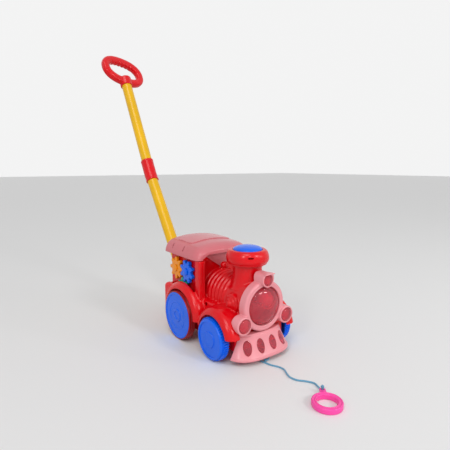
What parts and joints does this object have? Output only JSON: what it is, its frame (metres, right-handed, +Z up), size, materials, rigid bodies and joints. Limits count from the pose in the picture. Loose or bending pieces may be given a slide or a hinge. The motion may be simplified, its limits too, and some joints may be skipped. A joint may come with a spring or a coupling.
{
  "type": "toddler push toy",
  "caption": "Toy steam train on wheels with a long push handle, a pull cord with a ring, gears in the cab sides and a press button in the chimney.",
  "frame": {"origin": "on the floor under the middle of the toy's box, without the pull cord and its ring", "axes": "+Z up, the train's nose towards -Y, +X to the train's left"},
  "size_m": [0.1512, 0.7309, 0.5782],
  "materials": {
    "red_plastic": "glossy moulded red",
    "wheel_red": "glossy moulded red, a little darker",
    "pink_plastic": "glossy moulded pink",
    "blue_plastic": "glossy moulded blue",
    "yellow_plastic": "glossy moulded yellow",
    "orange_plastic": "glossy moulded orange-yellow",
    "green_plastic": "glossy moulded green",
    "clear_red": "clear tinted red",
    "pale_plastic": "pale moulded plastic",
    "ring_pink": "glossy bright pink",
    "cord": "braided light blue",
    "steel": "bright drawn steel"
  },
  "bodies": {
    "body": {"body_left": "red_plastic", "body_right": "red_plastic", "base_plate": "red_plastic", "base_screw_front_right": "steel", "base_screw_back_right": "steel", "base_screw_front_left": "steel", "base_screw_back_left": "steel", "side_screw_middle": "steel", "side_screw_rear": "steel", "side_screw_front": "steel", "roof": "pink_plastic", "face_ring": "pink_plastic", "window_dome": "clear_red", "lamp_lens_low_left": "clear_red", "lamp_lens_low_right": "clear_red", "lamp_lens_high": "clear_red", "ball_cradle": "red_plastic", "cowcatcher": "pink_plastic", "cowcatcher_insert_1": "clear_red", "cowcatcher_insert_2": "clear_red", "cowcatcher_insert_3": "clear_red", "cowcatcher_insert_4": "clear_red", "chimney_cap": "red_plastic", "button_spring": "steel", "yellow_gear_cap_left": "orange_plastic", "yellow_gear_cap_right": "orange_plastic", "blue_gear_cap_left": "blue_plastic", "blue_gear_cap_right": "blue_plastic", "handle_lower_tube": "yellow_plastic", "handle_coupler": "red_plastic", "handle_upper_tube": "yellow_plastic", "grip": "red_plastic", "pull_cord": "cord", "cord_tail": "cord", "tow_knot": "cord", "tail_knot": "cord", "ring_knot": "cord", "pull_ring": "ring_pink"},
    "front_wheels": {"front_axle": "steel", "front_wheel_left": "blue_plastic", "front_wheel_right": "blue_plastic"},
    "rear_wheels": {"rear_axle": "steel", "rear_wheel_left": "wheel_red", "rear_wheel_right": "wheel_red", "rear_wheel_cover_left": "blue_plastic", "rear_wheel_cover_right": "blue_plastic", "axle_gear": "yellow_plastic"},
    "gear_shaft": {"gear_shaft": "steel", "shaft_gear": "yellow_plastic", "green_gear_left": "green_plastic", "green_gear_right": "green_plastic"},
    "blue_gear_left": {"blue_gear_left": "blue_plastic"},
    "blue_gear_right": {"blue_gear_right": "blue_plastic"},
    "yellow_gear_left": {"yellow_gear_left": "orange_plastic"},
    "yellow_gear_right": {"yellow_gear_right": "orange_plastic"},
    "button": {"horn_button": "blue_plastic"},
    "ball": {"pop_ball": "pale_plastic"}
  },
  "joints": [
    {"name": "front_wheels_spin", "type": "hinge", "parent": "body", "child": "front_wheels", "pos_m": [0, -0.22719, 0.035], "axis": [1, 0, 0], "continuous": true},
    {"name": "rear_wheels_spin", "type": "hinge", "parent": "body", "child": "rear_wheels", "pos_m": [0, -0.12419, 0.0437], "axis": [1, 0, 0], "continuous": true},
    {"name": "gear_shaft_spin", "type": "hinge", "parent": "body", "child": "gear_shaft", "pos_m": [0, -0.11621, 0.09269], "axis": [1, 0, 0], "continuous": true},
    {"name": "blue_gear_left_spin", "type": "hinge", "parent": "body", "child": "blue_gear_left", "pos_m": [0, -0.12889, 0.122], "axis": [1, 0, 0], "continuous": true},
    {"name": "blue_gear_right_spin", "type": "hinge", "parent": "body", "child": "blue_gear_right", "pos_m": [0, -0.12889, 0.122], "axis": [1, 0, 0], "continuous": true},
    {"name": "yellow_gear_left_spin", "type": "hinge", "parent": "body", "child": "yellow_gear_left", "pos_m": [0, -0.09239, 0.122], "axis": [1, 0, 0], "continuous": true},
    {"name": "yellow_gear_right_spin", "type": "hinge", "parent": "body", "child": "yellow_gear_right", "pos_m": [0, -0.09239, 0.122], "axis": [1, 0, 0], "continuous": true},
    {"name": "button_press", "type": "slide", "parent": "body", "child": "button", "axis": [0, 0, -1], "range_m": [0, 0.003], "stiffness_N_per_m": 300, "springref_m": -0.001, "deforming": ["button_spring"]},
    {"name": "ball_hop", "type": "slide", "parent": "body", "child": "ball", "axis": [0, 0, 1], "range_m": [0, 0.004]}
  ],
  "couplings": [
    {"joint": "gear_shaft_spin", "follows": "rear_wheels_spin", "ratio": -0.61538},
    {"joint": "blue_gear_left_spin", "follows": "rear_wheels_spin", "ratio": 0.46154},
    {"joint": "yellow_gear_left_spin", "follows": "rear_wheels_spin", "ratio": -0.46154},
    {"joint": "blue_gear_right_spin", "follows": "rear_wheels_spin", "ratio": 0.46154},
    {"joint": "yellow_gear_right_spin", "follows": "rear_wheels_spin", "ratio": -0.46154}
  ]
}
